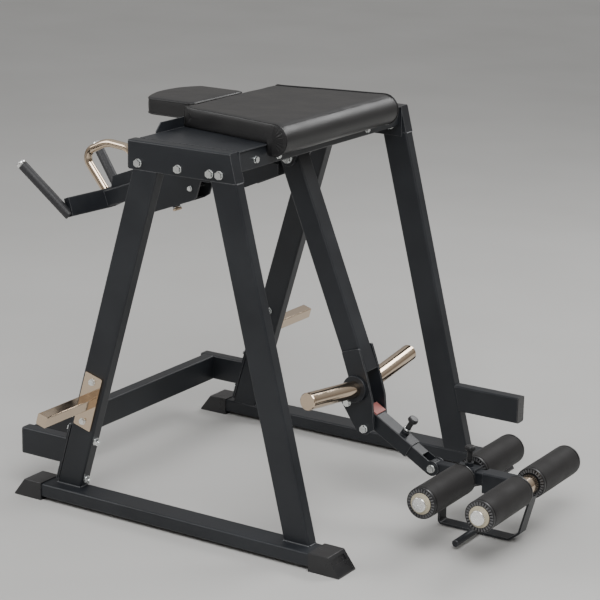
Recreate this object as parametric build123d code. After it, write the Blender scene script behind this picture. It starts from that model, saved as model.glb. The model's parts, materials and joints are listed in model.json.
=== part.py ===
"""Plate-loaded reverse hyperextension machine: a padded table on an A-frame, with a swinging leg pendulum.

Stations are millimetres: X runs rearwards from the foot of the front legs, Y across to the user's right
(the user lies on the table facing -X) and Z up from the floor. Every sub-part is moved by ORIGIN_SHIFT when it is
written, so the model's origin is the middle of its box at floor level.
"""
from build123d import *
import math
import os

# --- frame ----------------------------------------------------------------------------------------------------
TUBE_WIDE = 40.0  # frame tube, across the machine
TUBE_DEEP = 80.0  # frame tube, its long side
WALL = 3.0
FRAME_IN = 434.0  # inner face of the side frames
FRAME_OUT = FRAME_IN + TUBE_WIDE
RAIL_OUT = 514.0  # outer face of the floor rails
RAIL_LOW = 10.0
RAIL_TOP = 50.0
RAIL_FRONT = -90.0
RAIL_REAR = 945.0
CAP_FRONT = -125.0
CAP_REAR = 982.0
CAP_LAP = 97.0  # how far a foot cap reaches along its rail
CAP_WALL = 3.0
BAR_LOW = 1011.0
BAR_TOP = 1091.0
BAR_FRONT = 259.0
FRONT_LEAN = math.radians(15.86)
REAR_LEAN = math.radians(14.56)
REAR_LEG_EDGE = 861.6  # rear edge of a rear leg at the rail's top
BRACE_Z = 152.0
BRACE_FRONT = -130.0
CROSS_TUBE_X = -98.0
REST_STUB_Z = 216.0
REST_STUB_END = 1025.0
END_CAP = 3.0
STORAGE_Z = 319.0
STORAGE_TIP = 684.0
STORAGE_TUBE = 34.0
STORAGE_PLATE = (60.0, 170.0, 6.0)
STORAGE_BOLT_PITCH = 128.0

# --- table ----------------------------------------------------------------------------------------------------
DECK_TOP = 1091.0
DECK_FRONT = 270.0
DECK_REAR = 595.0
SHEET = 3.0
LIP_HIGH = 28.0
LIP_HALF = 362.0
FLANGE_FRONT = 363.0
FLANGE_LOW = 1000.0
BEAM_X = (542.0, 590.0)
BEAM_LOW = 1031.0
MAIN_PAD_TOP = 1150.0
MAIN_PAD_FRONT = 270.0
MAIN_PAD_REAR = 613.0
MAIN_PAD_HALF = (237.0, 306.0)  # half widths at the front and at the rear
BOLSTER_R = 45.0
BOLSTER_Z = 1104.0
CHEST_PAD_X = (32.0, 70.0, 230.0)  # front of the arc, its corners, and the rear
CHEST_PAD_HALF = 132.0
CHEST_PAD_Z = (1088.0, 1142.0)
BRACKET_Z = (1080.0, 1088.0)

# --- handle ---------------------------------------------------------------------------------------------------
HANDLE_RISE = math.radians(21.0)
HANDLE_POINT = (-150.0, 793.0)  # on the beam's centre line
HANDLE_TUBE = 50.0
SLEEVE_IN = 31.0
CHEEK = 6.0
HANDLE_GAP = 1.0
GRIP_R = 15.0
D_TUBE_R = 12.5

# --- pendulum -------------------------------------------------------------------------------------------------
PIVOT = (495.0, 1000.0)
PIVOT_R = 10.0
ARM_LEAN = math.radians(22.4)
ARM_TUBE = 63.5
ARM_TOP_POINT = (534.0, 900.0)
ARM_END_Z = 400.0
ARM_HEAD = 24.0  # tube above the pivot
PLATE = 8.0
HORN_R = 25.0
HORN_BASE = (738.0, 358.0)
HORN_TIP = (729.0, 384.0)
HORN_REACH = 285.0
HORN_ROOT_R = 24.0  # inside the collar
COLLAR_R = 39.0
COLLAR_FACE = 50.0  # station of the collar's outer face
SLOPE = math.radians(30.0)
SLEEVE_POINT = (784.75, 270.5)  # on the lower arm's centre line
SLEEVE_TUBE = (50.0, 45.0)
INNER_TUBE = (42.0, 37.0)
UPPER_BOLT = (713.0, 313.0)
LOWER_BOLT = (770.0, 244.0)

# --- ankle frame ----------------------------------------------------------------------------------------------
HINGE = (982.0, 163.0)
HUB_R = 19.5
RAIL_BAR = 36.0
RAIL_Z = 162.0
BOX_X = (1145.0, 1239.0)
CARRIAGE_X = (1056.0, 1120.0)
FRONT_AXLE = (1087.0, 160.0)
REAR_AXLE = (1264.0, 162.0)
ROLLER_R = 45.0
ROLLER_IN = 36.0
ROLLER_OUT = 270.0
RING_WIDE = 7.0
AXLE_R = 12.5
REAR_HUB_R = 28.0
STIRRUP = (40.0, 6.0)

ORIGIN_SHIFT = -468.0
FAR = 3000.0  # larger than the machine


# --- helpers --------------------------------------------------------------------------------------------------
def block(x=(-FAR, FAR), y=(-FAR, FAR), z=(-FAR, FAR)):
    """Box between two stations on each axis."""
    size = [high - low for low, high in (x, y, z)]
    middle = [(high + low) / 2 for low, high in (x, y, z)]
    return Pos(*middle) * Box(*size)


def prism(outline, y):
    """Plate with an outline of (x, z) points between two stations across the machine."""
    edge = Polyline(*[(x, y[0], z) for x, z in outline], close=True)
    return extrude(make_face(edge), amount=y[1] - y[0], dir=(0, 1, 0))


def rod(start, end, radius, bore=0.0):
    """Round bar between two (x, y, z) points, with an optional bore."""
    run = Vector(*end) - Vector(*start)
    section = Circle(radius)
    if bore:
        section -= Circle(bore)
    return extrude(Plane(origin=start, z_dir=run) * section, amount=run.length)


def cross_rod(point, y, radius, bore=0.0):
    """Round bar across the machine at an (x, z) point."""
    return rod((point[0], y[0], point[1]), (point[0], y[1], point[1]), radius, bore)


def tube(start, end, wide, deep, wall=WALL, corner=6.0, y=0.0):
    """Rounded rectangular tube between two (x, z) points; wide is across the machine. A wall of 0 is solid."""
    run = Vector(end[0] - start[0], 0, end[1] - start[1])
    plane = Plane(origin=(start[0], y, start[1]), x_dir=(0, 1, 0), z_dir=run)
    section = RectangleRounded(wide, deep, corner)
    if wall:
        section -= RectangleRounded(wide - 2 * wall, deep - 2 * wall, max(corner - wall, 0.5))
    return extrude(plane * section, amount=run.length)


def along(point, angle, distance, offset=0.0):
    """(x, z) point a distance along a line that falls rearwards at an angle, and an offset above it."""
    x = point[0] + distance * math.cos(angle) + offset * math.sin(angle)
    z = point[1] - distance * math.sin(angle) + offset * math.cos(angle)
    return (x, z)


def hexagon(point, direction, across, thick):
    """Hexagonal head or nut standing on a point."""
    plane = Plane(origin=point, z_dir=direction)
    prism_shape = extrude(plane * RegularPolygon(across / math.sqrt(3), 6), amount=thick)
    crown = plane * Pos(0, 0, thick / 2) * Cylinder(across * 0.56, thick)
    return prism_shape & crown


def bolt(head, nut, radius, across=None):
    """Bolt with a washer and a hexagonal head at one end and a washer and a lock nut at the other."""
    head, nut = Vector(*head), Vector(*nut)
    out = (head - nut).normalized()
    across = across or radius * 3.2
    washer = radius * 0.4
    shape = rod(tuple(nut - out * radius * 2.4), tuple(head + out * washer), radius)
    shape += rod(tuple(head), tuple(head + out * washer), across * 0.62)
    shape += hexagon(tuple(head + out * washer), out, across, radius * 1.2)
    shape += rod(tuple(nut), tuple(nut - out * washer), across * 0.62)
    shape += hexagon(tuple(nut - out * washer), -out, across, radius * 1.6)
    return shape


def both_sides(shape):
    """A shape and its mirror image across the machine's middle."""
    return [shape, mirror(shape, Plane.XZ)]


def write(name, *solids):
    """Write one sub-part, moved to the model's origin."""
    shapes = []
    for solid in solids:
        shapes.extend((Pos(ORIGIN_SHIFT, 0, 0) * solid).solids())
    export_step(Compound(children=shapes) if len(shapes) > 1 else shapes[0], f"parts/{name}.step")


def write_pair(name, shape):
    """Write a sub-part of the right side (+Y) and its mirror image on the left."""
    write(f"right_{name}", shape)
    write(f"left_{name}", mirror(shape, Plane.XZ))


# --- frame ----------------------------------------------------------------------------------------------------
def front_leg_middle(z):
    """X of a front leg's centre line at a height."""
    return TUBE_DEEP / math.cos(FRONT_LEAN) / 2 + math.tan(FRONT_LEAN) * (z - RAIL_TOP)


def rear_leg_edge(z):
    """X of a rear leg's rear edge at a height."""
    return REAR_LEG_EDGE - math.tan(REAR_LEAN) * (z - RAIL_TOP)


def front_leg_bolt(z, spread=0.0):
    """Ends of a bolt square through a front leg at a height, each end moved out by spread."""
    half = TUBE_DEEP / 2
    normal = (-math.cos(FRONT_LEAN), math.sin(FRONT_LEAN))
    x = front_leg_middle(z)
    y = (FRAME_IN + FRAME_OUT) / 2
    front = (x + (half + spread) * normal[0], y, z + (half + spread) * normal[1])
    rear = (x - half * normal[0], y, z - half * normal[1])
    return front, rear


BRACE_PLATE = 8.0
BRACE_BOLTS = [front_leg_bolt(z, BRACE_PLATE) for z in (205.0, 83.0)]
STORAGE_BOLTS = []
for step in (-STORAGE_BOLT_PITCH / 2, STORAGE_BOLT_PITCH / 2):
    bolt_z = STORAGE_Z + step * math.cos(FRONT_LEAN)
    bolt_x = front_leg_middle(bolt_z)
    STORAGE_BOLTS.append(((bolt_x, FRAME_OUT + STORAGE_PLATE[2], bolt_z), (bolt_x, FRAME_IN, bolt_z)))
BAR_BOLT_X = (294.0, 426.0, 529.0, 560.0)
BAR_BOLT_Z = 1030.0
BAR_BOLTS = [((x, FRAME_OUT, BAR_BOLT_Z), (x, FRAME_IN - SHEET, BAR_BOLT_Z)) for x in BAR_BOLT_X]
M12 = 6.0
M10 = 5.0
HOLE_CLEARANCE = 0.3
NUT_ROOM = 13.0  # radius of the notch that clears a nut


def drilled(shape, bolts, radius):
    """A shape with a clearance hole for each bolt."""
    for head, nut in bolts:
        run = (Vector(*head) - Vector(*nut)).normalized() * 30
        shape -= rod(tuple(Vector(*nut) - run), tuple(Vector(*head) + run), radius + HOLE_CLEARANCE)
    return shape


def floor_rail():
    """Flat-laid tube that both legs of a side frame stand on."""
    z = (RAIL_LOW + RAIL_TOP) / 2
    y = (FRAME_IN + RAIL_OUT) / 2
    return tube((RAIL_FRONT, z), (RAIL_REAR, z), TUBE_DEEP, RAIL_TOP - RAIL_LOW, y=y)


def foot_cap(toe, inward):
    """Moulded foot over a rail's end, with a sloping toe; inward is the direction along the rail."""
    lap = toe + inward * CAP_LAP
    brow = toe + inward * 36.0
    top = RAIL_TOP + CAP_WALL
    outline = [(toe, 0), (lap, 0), (lap, top), (brow, top), (toe, 5.0)]
    shape = prism(outline, (FRAME_IN - CAP_WALL, RAIL_OUT + CAP_WALL))
    upper_edges = [edge for edge in shape.edges() if edge.center().Z > 5.5 and abs(edge.center().X - lap) > 1]
    shape = fillet(upper_edges, 2.0)
    slope = math.atan2(top - 5.0, (brow - toe) * inward)
    slot = Pos(toe + inward * 24.0, (FRAME_IN + RAIL_OUT) / 2, 38.0) * Rot(0, -inward * math.degrees(slope), 0)
    shape -= slot * Box(16.0, 56.0, 8.0)
    pocket = tube((RAIL_FRONT - 0.2, 30.0), (RAIL_REAR + 0.2, 30.0), TUBE_DEEP + 0.2,
                  RAIL_TOP - RAIL_LOW + 0.2, wall=0, y=(FRAME_IN + RAIL_OUT) / 2)
    return shape - pocket


def front_leg():
    """Front leg, drilled for the brace plate and the storage horn."""
    low = (front_leg_middle(RAIL_TOP - 60), RAIL_TOP - 60)
    high = (front_leg_middle(BAR_LOW + 60), BAR_LOW + 60)
    shape = tube(low, high, TUBE_WIDE, TUBE_DEEP, y=(FRAME_IN + FRAME_OUT) / 2)
    shape &= block(z=(RAIL_TOP, BAR_LOW))
    return drilled(drilled(shape, BRACE_BOLTS, M12), STORAGE_BOLTS, M10)


def rear_leg():
    """Rear leg, leaning forward to the end of the top bar."""
    half = TUBE_DEEP / math.cos(REAR_LEAN) / 2
    low = (rear_leg_edge(RAIL_TOP - 60) - half, RAIL_TOP - 60)
    high = (rear_leg_edge(BAR_LOW + 60) - half, BAR_LOW + 60)
    shape = tube(low, high, TUBE_WIDE, TUBE_DEEP, y=(FRAME_IN + FRAME_OUT) / 2)
    return shape & block(z=(RAIL_TOP, BAR_LOW))


def top_bar_end(back):
    """Everything in front of a top bar's sloping rear end, moved forward by back."""
    end = [(BAR_FRONT, BAR_LOW), (rear_leg_edge(BAR_LOW) - back, BAR_LOW), (rear_leg_edge(BAR_TOP) - back, BAR_TOP)]
    return prism(end + [(BAR_FRONT, BAR_TOP)], (FRAME_IN - 1, FRAME_OUT + 1))


def top_bar():
    """Top of a side frame: welded flush to the legs below it and closed at its sloping rear end."""
    middle = (BAR_FRONT + END_CAP, (FRAME_IN + FRAME_OUT) / 2, (BAR_LOW + BAR_TOP) / 2)
    plane = Plane(origin=middle, x_dir=(0, 1, 0), z_dir=(1, 0, 0))
    outer = RectangleRounded(TUBE_WIDE, TUBE_DEEP, 6.0) + Pos(0, -TUBE_DEEP / 4) * Rectangle(TUBE_WIDE, TUBE_DEEP / 2)
    inner = RectangleRounded(TUBE_WIDE - 2 * WALL, TUBE_DEEP - 2 * WALL, 3.0)
    length = REAR_LEG_EDGE - BAR_FRONT
    shape = extrude(plane * outer, amount=length) & top_bar_end(0)
    shape -= extrude(plane * inner, amount=length) & top_bar_end(WALL)
    return drilled(shape, BAR_BOLTS, M12)


def brace_stub():
    """Short tube in front of a front leg, welded to the plate that bolts along the leg's front face."""
    low, high = 62.0, 236.0
    edge = TUBE_DEEP / math.cos(FRONT_LEAN) / 2
    thick = BRACE_PLATE / math.cos(FRONT_LEAN)
    outline = [(front_leg_middle(low) - edge, low), (front_leg_middle(high) - edge, high),
               (front_leg_middle(high) - edge - thick, high), (front_leg_middle(low) - edge - thick, low)]
    plate = drilled(prism(outline, (FRAME_IN, FRAME_OUT)), BRACE_BOLTS, M12)
    stub = tube((BRACE_FRONT + END_CAP, BRACE_Z), (200, BRACE_Z), TUBE_WIDE, TUBE_DEEP,
                y=(FRAME_IN + FRAME_OUT) / 2)
    behind = [(front_leg_middle(0) - edge - thick, 0), (front_leg_middle(400) - edge - thick, 400)]
    stub -= prism(behind + [(FAR, 400), (FAR, 0)], (FRAME_IN - 1, FRAME_OUT + 1))
    return stub + plate


def front_cross_tube():
    """Tube that joins the two brace stubs."""
    section = RectangleRounded(TUBE_WIDE, TUBE_DEEP, 6.0) - RectangleRounded(34.0, 74.0, 3.0)
    plane = Plane(origin=(CROSS_TUBE_X, -FRAME_IN, BRACE_Z), x_dir=(1, 0, 0), z_dir=(0, 1, 0))
    return extrude(plane * section, amount=2 * FRAME_IN)


def rest_stub():
    """Short tube behind the right rear leg."""
    shape = tube((600, REST_STUB_Z), (REST_STUB_END - END_CAP, REST_STUB_Z), TUBE_WIDE, TUBE_DEEP,
                 y=(FRAME_IN + FRAME_OUT) / 2)
    front = [(rear_leg_edge(0), 0), (rear_leg_edge(500), 500), (0, 500), (0, 0)]
    return shape - prism(front, (FRAME_IN - 1, FRAME_OUT + 1))


def end_plug(x, z, facing):
    """Moulded plug: a thin head over a tube's end and a spigot inside it; facing is -1 to the front, 1 to the rear."""
    y = (FRAME_IN + FRAME_OUT) / 2
    head = tube((x, z), (x - facing * END_CAP, z), TUBE_WIDE, TUBE_DEEP, wall=0, y=y)
    inside = TUBE_WIDE - 2 * WALL - 0.4, TUBE_DEEP - 2 * WALL - 0.4
    return head + tube((x - facing * END_CAP, z), (x - facing * 18, z), *inside, wall=0, corner=2.8, y=y)


def storage_horn():
    """Square plate-storage horn on its bolted plate, square to the front leg."""
    middle = (front_leg_middle(STORAGE_Z), FRAME_OUT, STORAGE_Z)
    upright = Plane(origin=middle, x_dir=(math.cos(FRONT_LEAN), 0, -math.sin(FRONT_LEAN)), z_dir=(0, 1, 0))
    wide, tall, thick = STORAGE_PLATE
    plate = drilled(extrude(upright * RectangleRounded(wide, tall, 4.0), amount=thick), STORAGE_BOLTS, M10)
    reach = STORAGE_TIP - FRAME_OUT
    outer = RectangleRounded(STORAGE_TUBE, STORAGE_TUBE, 4.0)
    horn = extrude(upright * outer, amount=reach)
    horn -= extrude(upright * RectangleRounded(STORAGE_TUBE - 6, STORAGE_TUBE - 6, 2.0), amount=reach - 5)
    return horn + plate


# --- table ----------------------------------------------------------------------------------------------------
def table_deck():
    """Folded sheet between the top bars, with an upturned front lip and a flange down each bar."""
    shape = block((DECK_FRONT, DECK_REAR), (-FRAME_IN, FRAME_IN), (DECK_TOP - SHEET, DECK_TOP))
    lip = block((DECK_FRONT, DECK_FRONT + SHEET), (-LIP_HALF, LIP_HALF), (DECK_TOP - SHEET, DECK_TOP + LIP_HIGH))
    lip = chamfer(lip.edges().filter_by(Axis.X).sort_by(Axis.Z)[-2:], 22.0)
    shape += lip
    for inner, outer in ((FRAME_IN - SHEET, FRAME_IN), (-FRAME_IN, SHEET - FRAME_IN)):
        outline = [(FLANGE_FRONT, FLANGE_LOW), (rear_leg_edge(FLANGE_LOW) - 16, FLANGE_LOW),
                   (DECK_REAR, DECK_TOP - SHEET), (DECK_FRONT, DECK_TOP - SHEET), (DECK_FRONT, BAR_LOW)]
        shape += prism(outline, (inner, outer))
    return drilled(drilled(shape, BAR_BOLTS, M12), [mirrored(pair) for pair in BAR_BOLTS], M12)


def mirrored(pair):
    """A bolt's two ends on the other side of the machine."""
    return tuple((x, -y, z) for x, y, z in pair)


LUG_Y = (32.4, 40.4)
BEAM_BOLTS = [((BEAM_X[1], y, z), (BEAM_X[0], y, z)) for y, z in ((349.0, 1056.0), (238.0, 1050.0))]


def rear_beam():
    """Tube across the table's rear edge that carries the pendulum's lugs."""
    middle = (BEAM_X[0] + BEAM_X[1]) / 2, (BEAM_LOW + DECK_TOP - SHEET) / 2
    wide, tall = BEAM_X[1] - BEAM_X[0], DECK_TOP - SHEET - BEAM_LOW
    section = RectangleRounded(wide, tall, 5.0) - RectangleRounded(wide - 6, tall - 6, 2.0)
    plane = Plane(origin=(middle[0], SHEET - FRAME_IN, middle[1]), x_dir=(-1, 0, 0), z_dir=(0, 1, 0))
    shape = extrude(plane * section, amount=2 * (FRAME_IN - SHEET))
    shape = drilled(shape, BEAM_BOLTS, M10)
    shape = drilled(shape, [mirrored(pair) for pair in BEAM_BOLTS], M10)
    last = BAR_BOLTS[-1]
    return drilled(shape, [last, mirrored(last)], NUT_ROOM)


def pivot_lug():
    """Plate under the deck that holds one end of the pendulum's shaft."""
    x, z = PIVOT
    edge = [(x - 26, z), (x - 40, DECK_TOP - SHEET), (BEAM_X[0], DECK_TOP - SHEET), (BEAM_X[0], BEAM_LOW + 6),
            (x + 26, z)]
    shape = prism(edge, LUG_Y) + cross_rod(PIVOT, LUG_Y, 26.0)
    return shape - cross_rod(PIVOT, (LUG_Y[0] - 1, LUG_Y[1] + 1), PIVOT_R + 0.1)


def pivot_shaft():
    """Shaft through the lugs with a low hexagonal head and a nut."""
    x, z = PIVOT
    shape = cross_rod(PIVOT, (-LUG_Y[1], LUG_Y[1]), PIVOT_R)
    for side in (-1, 1):
        face = (x, side * LUG_Y[1], z)
        shape += rod(face, (x, side * (LUG_Y[1] + 2), z), 17.0)
        shape += hexagon((x, side * (LUG_Y[1] + 2), z), (0, side, 0), 27.0, 9.0)
    return shape


def main_pad():
    """Long table cushion, wider to the rear, with a bolster rolled down over the table's rear edge."""
    front, rear = MAIN_PAD_HALF
    low = DECK_TOP + 0.3
    at = MAIN_PAD_REAR
    outline = [(MAIN_PAD_FRONT + 4, -front), (at, -rear), (at, rear), (MAIN_PAD_FRONT + 4, front)]
    face = make_face(Polyline(*[(x, y, low) for x, y in outline], close=True))
    slab = extrude(face, amount=MAIN_PAD_TOP - low, dir=(0, 0, 1))
    slab = fillet(slab.edges().filter_by(Axis.Z).sort_by(Axis.X)[:2], 8.0)
    slab = fillet(slab.faces().sort_by(Axis.Z)[-1].edges(), 6.0)
    bolster = cross_rod((at, BOLSTER_Z), (-rear, rear), BOLSTER_R)
    under = block((0, DECK_REAR + 0.4), z=(0, low))
    return (slab + bolster) - under


def chest_pad():
    """Small cushion with a bowed front edge."""
    front, corner, rear = CHEST_PAD_X
    half = CHEST_PAD_HALF
    bow = ThreePointArc((corner, half, CHEST_PAD_Z[0]), (front, 0, CHEST_PAD_Z[0]), (corner, -half, CHEST_PAD_Z[0]))
    sides = Polyline((corner, -half, CHEST_PAD_Z[0]), (rear, -half, CHEST_PAD_Z[0]), (rear, half, CHEST_PAD_Z[0]),
                     (corner, half, CHEST_PAD_Z[0]))
    shape = extrude(make_face(bow + sides), amount=CHEST_PAD_Z[1] - CHEST_PAD_Z[0], dir=(0, 0, 1))
    shape = fillet(shape.edges().filter_by(Axis.Z), 14.0)
    return fillet(shape.faces().sort_by(Axis.Z)[-1].edges(), 7.0)


def chest_pad_bracket():
    """Flat bar from under the deck to the chest pad, with a foot plate for the pad's screws."""
    low, high = BRACKET_Z
    return block((100, 420), (-30, 30), (low, high)) + block((100, 190), (-62, 62), (low, high))


# --- handle ---------------------------------------------------------------------------------------------------
def on_beam(distance, offset=0.0):
    """(x, z) point along the handle beam from its reference point, and above its centre line."""
    return along(HANDLE_POINT, -HANDLE_RISE, distance, offset)


HANDLE_PIN_AT = 217.0  # along the beam from its reference point
HANDLE_TIP = -55.0
HANDLE_TAIL = 330.0
SLEEVE_FRONT = 160.0
SLEEVE_REAR = 300.0
SLEEVE_DROP = -80.0  # underside of the sleeve box from the beam's centre line
SLEEVE_BOSS = 4.0  # how far the pull pin's barrel stands below the sleeve
SLEEVE_BOLT = (157.0, 864.0)
M8 = 4.0
PIN_R = 6.0


def handle_cheeks():
    """Side plates of the sleeve, carried up to the underside of the deck, and the plates between them."""
    low = HANDLE_TUBE / 2 + HANDLE_GAP
    low_front, low_rear = on_beam(SLEEVE_FRONT, SLEEVE_DROP), on_beam(SLEEVE_REAR, SLEEVE_DROP)
    outline = [low_front, low_rear, (178.0, 838.0), (194.0, 890.0), (350.0, 893.0), (462.0, 943.0), (462.0, 975.0), (430.0, 975.0),
               (430.0, DECK_TOP - SHEET), (300.0, DECK_TOP - SHEET), on_beam(SLEEVE_REAR, low + CHEEK),
               on_beam(SLEEVE_FRONT, low + CHEEK)]
    shape = Part()
    for side in ((SLEEVE_IN, SLEEVE_IN + CHEEK), (-SLEEVE_IN - CHEEK, -SLEEVE_IN)):
        shape += prism(outline, side)
    for below, above in ((low, low + CHEEK), (-low - CHEEK, -low), (SLEEVE_DROP, SLEEVE_DROP + CHEEK)):
        corners = [on_beam(SLEEVE_FRONT, below), on_beam(SLEEVE_REAR, below), on_beam(SLEEVE_REAR, above),
                   on_beam(SLEEVE_FRONT, above)]
        shape += prism(corners, (-SLEEVE_IN, SLEEVE_IN))
    foot = block((300, 430), (-SLEEVE_IN, SLEEVE_IN), (BRACKET_Z[0] - 8, BRACKET_Z[0]))
    shape += foot
    shape -= cross_rod(SLEEVE_BOLT, (-FAR, FAR), M8 + HOLE_CLEARANCE)
    x, z = on_beam(HANDLE_PIN_AT, SLEEVE_DROP - SLEEVE_BOSS)
    top_x, top_z = on_beam(HANDLE_PIN_AT, -low)
    shape += rod((x, 0, z), (top_x, 0, top_z), 12.0)
    shape -= rod((x, 0, z), (top_x, 0, top_z), PIN_R + 0.05)
    return shape


def pull_pin(tip, direction, barrel, gap=6.0, neck=28.0, head=14.0):
    """Spring plunger: a shank from its nose through a barrel, an optional neck and a round head."""
    tip, out = Vector(*tip), Vector(*direction).normalized()
    collar = tip + out * (barrel + gap)
    shape = rod(tuple(tip), tuple(collar), PIN_R)
    if neck:
        shape += rod(tuple(collar), tuple(collar + out * 6), 9.0)
        shape += rod(tuple(collar + out * 6), tuple(collar + out * neck), 8.0)
    knob = rod(tuple(collar + out * neck), tuple(collar + out * (neck + head)), 14.0)
    return shape + fillet(knob.edges().filter_by(GeomType.CIRCLE), 3.0)


def handle_pin():
    """Short pull pin under the handle sleeve."""
    gap = HANDLE_TUBE / 2 + 0.4
    x, z = on_beam(HANDLE_PIN_AT, -gap)
    down_x, down_z = on_beam(HANDLE_PIN_AT, -gap - 10)
    barrel = SLEEVE_BOSS - SLEEVE_DROP - gap
    return pull_pin((x, 0, z), (down_x - x, 0, down_z - z), barrel, gap=2.0, neck=0.0, head=9.0)


GRIP_ROOT = (-222.0, 138.0, 757.0)
GRIP_TIP = (-362.0, 186.0, 903.0)
GRIP_LOWEST = (-214.0, 135.0, 748.0)


def handle_beam():
    """Sliding beam, its swept cross arms and the riser that holds the loop handle."""
    beam = tube(on_beam(HANDLE_TIP + END_CAP), on_beam(HANDLE_TAIL), HANDLE_TUBE, HANDLE_TUBE, corner=5.0)
    tall = 58.0
    arms = Part()
    hollow = Part()
    for side in (-1, 1):
        root_x, root_z = on_beam(-20.0)
        grip_x, _, grip_z = GRIP_ROOT
        grip_x, grip_z = grip_x + 4, grip_z + 17
        start, end = Vector(root_x, 0, root_z), Vector(grip_x, side * 136.0, grip_z)
        across = Vector(math.sin(-HANDLE_RISE), 0, math.cos(HANDLE_RISE))
        run = (end - start).normalized()
        plane = Plane(origin=tuple(start), x_dir=tuple(run.cross(across)), z_dir=tuple(run))
        arms += extrude(plane * RectangleRounded(30.0, tall, 4.0), amount=(end - start).length)
        hollow += extrude(plane * RectangleRounded(24.0, tall - 6, 1.5), amount=(end - start).length - 3)
    inside = tube(on_beam(HANDLE_TIP), on_beam(HANDLE_TAIL), HANDLE_TUBE - 6, HANDLE_TUBE - 6, wall=0, corner=2.0)
    shape = beam + (arms - hollow)
    shape -= inside
    riser = [on_beam(10.0, 25.0), on_beam(105.0, 25.0), on_beam(105.0, 60.0), on_beam(30.0, 60.0)]
    shape += prism(riser, (-16.0, 16.0))
    for side in (-1, 1):
        shape -= grip_bar(side, GRIP_R + 0.05, 0)
    for step in (-60.0, -30.0, 0.0, 30.0, 60.0):
        lower, upper = on_beam(HANDLE_PIN_AT + step, -40.0), on_beam(HANDLE_PIN_AT + step, -5.0)
        shape -= rod((lower[0], 0, lower[1]), (upper[0], 0, upper[1]), PIN_R + 0.3)
    return shape


def grip_bar(side, radius, short):
    """Straight bar of a hand grip on one side, from its lowest end to short of its tip."""
    start, tip = Vector(*GRIP_LOWEST), Vector(*GRIP_TIP)
    out = (tip - start).normalized()
    end = tip - out * short
    flip = (1, side, 1)
    return rod(tuple(a * b for a, b in zip(start, flip)), tuple(a * b for a, b in zip(end, flip)), radius)


def d_handle():
    """Bent loop handle on the machine's middle, from the beam's front to its riser."""
    points = [(-184, 0, 810), (-268, 0, 912), (-176, 0, 957), (-92, 0, 949), (-50, 0, 880)]
    path = FilletPolyline(*points, radius=[34.0, 90.0, 40.0])
    start = path @ 0
    section = Plane(origin=start, z_dir=path % 0) * Circle(D_TUBE_R)
    bar = sweep(section, path=path)
    return bar - (block((-400, 100), (-60, 60), (700, 1000)) & beam_shadow())


def beam_shadow():
    """Everything below the top of the handle beam and its riser."""
    a, b = on_beam(-200.0, 29.2), on_beam(400.0, 29.2)
    shape = prism([a, b, (b[0], 500.0), (a[0], 500.0)], (-100.0, 100.0))
    riser = [on_beam(10.0, 24.0), on_beam(105.0, 24.0), on_beam(105.0, 60.0), on_beam(30.0, 60.0)]
    return shape + prism(riser, (-30.0, 30.0))


# --- pendulum -------------------------------------------------------------------------------------------------
def arm_middle(z):
    """X of the pendulum tube's centre line at a height."""
    return ARM_TOP_POINT[0] + (ARM_TOP_POINT[1] - z) * math.tan(ARM_LEAN)


def upper_arm():
    """Square pendulum tube with a bushed bore for the shaft at its head."""
    head_z = PIVOT[1] + ARM_HEAD * math.cos(ARM_LEAN)
    shape = tube((arm_middle(head_z), head_z), (arm_middle(ARM_END_Z), ARM_END_Z), ARM_TUBE, ARM_TUBE)
    half = ARM_TUBE / 2
    shape += cross_rod(PIVOT, (-half, half), 16.0)
    shape -= cross_rod(PIVOT, (-half - 1, half + 1), PIVOT_R + 0.05)
    return shape


def arm_plate():
    """Side plate that joins the pendulum tube, the weight horn and the lower arm."""
    outline = [(689, 459), (745, 478), (771, 406), (793, 335), (802, 247), (776, 227), (746, 233), (690, 315),
               (715, 386)]
    half = ARM_TUBE / 2
    shape = prism(outline, (half, half + PLATE))
    shape = fillet(shape.edges().filter_by(Axis.Y), 4.0)
    for point in (UPPER_BOLT, LOWER_BOLT):
        shape -= cross_rod(point, (half - 1, half + PLATE + 1), M12 + HOLE_CLEARANCE)
    return shape


def horn_line(y):
    """Point on the right weight horn's axis at a station across the machine."""
    start = ARM_TUBE / 2 + PLATE
    part = (y - start) / (HORN_REACH - start)
    return tuple(HORN_BASE[i] + part * (HORN_TIP[i] - HORN_BASE[i]) for i in (0, 1))


def horn_point(y):
    """(x, y, z) point on the right weight horn's axis."""
    x, z = horn_line(y)
    return (x, y, z)


def weight_horn():
    """Tube for weight plates, closed and grooved at its tip, tilted up so that plates stay on."""
    start = ARM_TUBE / 2 + PLATE
    shoulder = COLLAR_FACE + 1
    shape = rod(horn_point(shoulder), horn_point(HORN_REACH), HORN_R)
    shape = chamfer(shape.edges().filter_by(GeomType.CIRCLE).sort_by(Axis.Y)[-1], 2.0)
    shape -= rod(horn_point(HORN_REACH - 9), horn_point(HORN_REACH - 8), HORN_R + 1, HORN_R - 0.8)
    shape += rod(horn_point(start - 10), horn_point(shoulder), HORN_ROOT_R)
    shape -= rod(horn_point(0), horn_point(HORN_REACH - 9), HORN_R - 4)
    return shape & block(y=(start, FAR))


def horn_collar():
    """Collar round the horn's root that weight plates stop against."""
    start = ARM_TUBE / 2 + PLATE
    shape = rod(horn_point(start - 10), horn_point(COLLAR_FACE), COLLAR_R)
    shape = fillet(shape.edges().filter_by(GeomType.CIRCLE).sort_by(Axis.Y)[-1], 3.0)
    shape -= rod(horn_point(0), horn_point(HORN_REACH), HORN_ROOT_R + 0.1)
    return shape & block(y=(start, FAR))


def on_arm(distance, offset=0.0):
    """(x, z) point along the lower arm from its reference point, and above its centre line."""
    return along(SLEEVE_POINT, SLOPE, distance, offset)


ARM_PIN_AT = 98.0
SLEEVE_ENDS = (-108.0, 141.0)


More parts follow.
